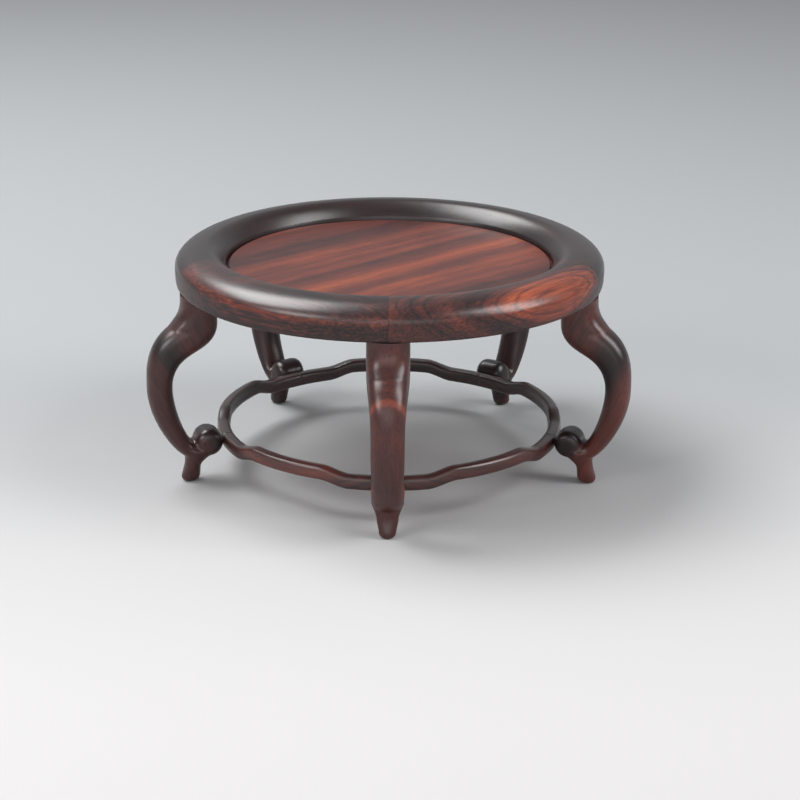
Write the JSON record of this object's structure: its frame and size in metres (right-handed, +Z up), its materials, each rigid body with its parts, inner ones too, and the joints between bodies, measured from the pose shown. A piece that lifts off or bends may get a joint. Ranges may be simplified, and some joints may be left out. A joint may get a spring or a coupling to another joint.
{
  "type": "round display stand",
  "caption": "Small round hardwood display stand: jointed round-edged rim, sunk panel, bowed legs ending in scrolls on peg feet, and a ring of humped stretchers.",
  "frame": {"origin": "on the table, under the middle of the panel, on the stand's vertical axis", "axes": "+Z up along the stand's axis; the first leg stands at -Y, towards the viewer, and +X is to the viewer's right"},
  "size_m": [0.134, 0.1301, 0.064],
  "materials": {
    "rim_wood": "waxed satin",
    "panel_wood": "waxed satin",
    "leg_wood": "waxed satin",
    "stretcher_wood": "waxed satin",
    "hidden_wood": "bare wood"
  },
  "bodies": {
    "root": {"top_panel": "panel_wood", "rim_segment_1": "rim_wood", "rim_segment_2": "rim_wood", "rim_segment_3": "rim_wood", "rim_segment_4": "rim_wood", "rim_segment_5": "rim_wood", "rim_key_1": "hidden_wood", "rim_key_2": "hidden_wood", "rim_key_3": "hidden_wood", "rim_key_4": "hidden_wood", "rim_key_5": "hidden_wood", "leg_1": "leg_wood", "leg_2": "leg_wood", "leg_3": "leg_wood", "leg_4": "leg_wood", "leg_5": "leg_wood", "stretcher_1": "stretcher_wood", "stretcher_2": "stretcher_wood", "stretcher_3": "stretcher_wood", "stretcher_4": "stretcher_wood", "stretcher_5": "stretcher_wood", "stretcher_dowel_1": "hidden_wood", "stretcher_dowel_2": "hidden_wood", "stretcher_dowel_3": "hidden_wood", "stretcher_dowel_4": "hidden_wood", "stretcher_dowel_5": "hidden_wood"}
  },
  "joints": []
}
